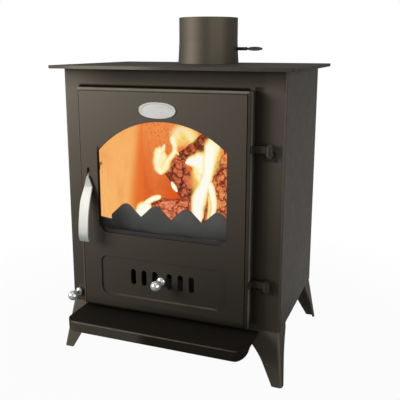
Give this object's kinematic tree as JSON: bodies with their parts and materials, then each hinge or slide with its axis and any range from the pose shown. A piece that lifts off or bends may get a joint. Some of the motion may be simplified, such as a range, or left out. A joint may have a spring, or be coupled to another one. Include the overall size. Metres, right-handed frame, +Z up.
{
  "type": "wood-burning stove",
  "caption": "Freestanding wood-burning stove with an arched glass door, top flue collar with damper, ash shelf and splayed legs, shown alight.",
  "frame": {"origin": "centre of the bounding box in plan, on the floor under the feet", "axes": "+Z up; the glazed door faces -Y; +X is the hinge side, on the viewer's right"},
  "size_m": [0.494, 0.416, 0.683],
  "materials": {
    "stove_paint": "satin heat-resistant paint, warm charcoal, fine grain",
    "door_paint": "satin heat-resistant paint, warm charcoal, fine grain",
    "collar_paint": "matt heat-resistant paint over cast metal",
    "cast": "matt dark cast iron",
    "plain_steel": "plain mild steel, dulled by heat",
    "handle_steel": "satin stainless",
    "knob_chrome": "polished chrome plate",
    "brick": "fire brick lit by the fire",
    "stove_glass": "clear heat-resistant glass",
    "rope": "black braided glass-fibre rope",
    "badge_metal": "bare pale brushed plate with a raised rim",
    "burning_wood": "charred bark, glowing at the edges"
  },
  "bodies": {
    "stove": {"body_shell": "stove_paint", "back_panel": "stove_paint", "base_plate": "stove_paint", "top_plate": "stove_paint", "flue_collar": "collar_paint", "baffle_plate": "cast", "brick_left": "brick", "brick_right": "brick", "brick_back": "brick", "brick_spacers": "cast", "log_guard": "cast", "grate": "cast", "grate_frame": "cast", "grate_rails": "stove_paint", "ash_pan": "plain_steel", "ash_pan_runners": "stove_paint", "ash_shelf": "stove_paint", "shelf_bolts": "plain_steel", "leg_front_left": "stove_paint", "leg_front_right": "stove_paint", "leg_rear_left": "stove_paint", "leg_rear_right": "stove_paint", "leg_bolts": "plain_steel", "airwash_channel": "stove_paint", "hinge_bracket_upper": "stove_paint", "hinge_bracket_lower": "stove_paint", "hinge_pin_upper": "plain_steel", "hinge_pin_lower": "plain_steel", "latch_keeper": "plain_steel", "shutter_guides": "stove_paint", "log_front": "burning_wood", "log_back": "burning_wood", "log_leaning": "burning_wood", "log_standing": "burning_wood", "log_top": "burning_wood"},
    "door": {"door_panel": "door_paint", "door_glass": "stove_glass", "glass_gasket": "rope", "glass_clips": "plain_steel", "glass_clip_screws": "plain_steel", "door_rope_seal": "rope", "badge": "badge_metal", "hinge_arm_upper": "door_paint", "hinge_arm_lower": "door_paint", "handle_bracket": "plain_steel", "handle_pivot_pin": "plain_steel", "air_slide_guides": "door_paint"},
    "door_handle": {"door_handle": "handle_steel"},
    "primary_air": {"primary_air_slide": "plain_steel", "primary_air_knob": "knob_chrome", "primary_air_nut": "plain_steel"},
    "secondary_air": {"secondary_air_rod": "plain_steel", "secondary_air_knob": "knob_chrome", "air_shutter": "plain_steel"},
    "damper": {"damper_disc": "cast", "damper_spindle": "plain_steel", "damper_screws": "plain_steel"}
  },
  "joints": [
    {"name": "door_hinge", "type": "hinge", "parent": "stove", "child": "door", "pos_m": [0.1975, -0.122, 0.319], "axis": [0, 0, 1], "range_deg": [0, 110]},
    {"name": "handle_pivot", "type": "hinge", "parent": "door", "child": "door_handle", "pos_m": [-0.157, -0.132, 0.3875], "axis": [-1, 0, 0], "range_deg": [0, 35]},
    {"name": "primary_air_slide", "type": "slide", "parent": "door", "child": "primary_air", "axis": [1, 0, 0], "range_m": [0, 0.0113]},
    {"name": "secondary_air_pull", "type": "slide", "parent": "stove", "child": "secondary_air", "axis": [0, -1, 0], "range_m": [0, 0.03]},
    {"name": "damper_turn", "type": "hinge", "parent": "stove", "child": "damper", "pos_m": [0, 0.107, 0.619], "axis": [1, 0, 0], "range_deg": [0, 90]}
  ]
}
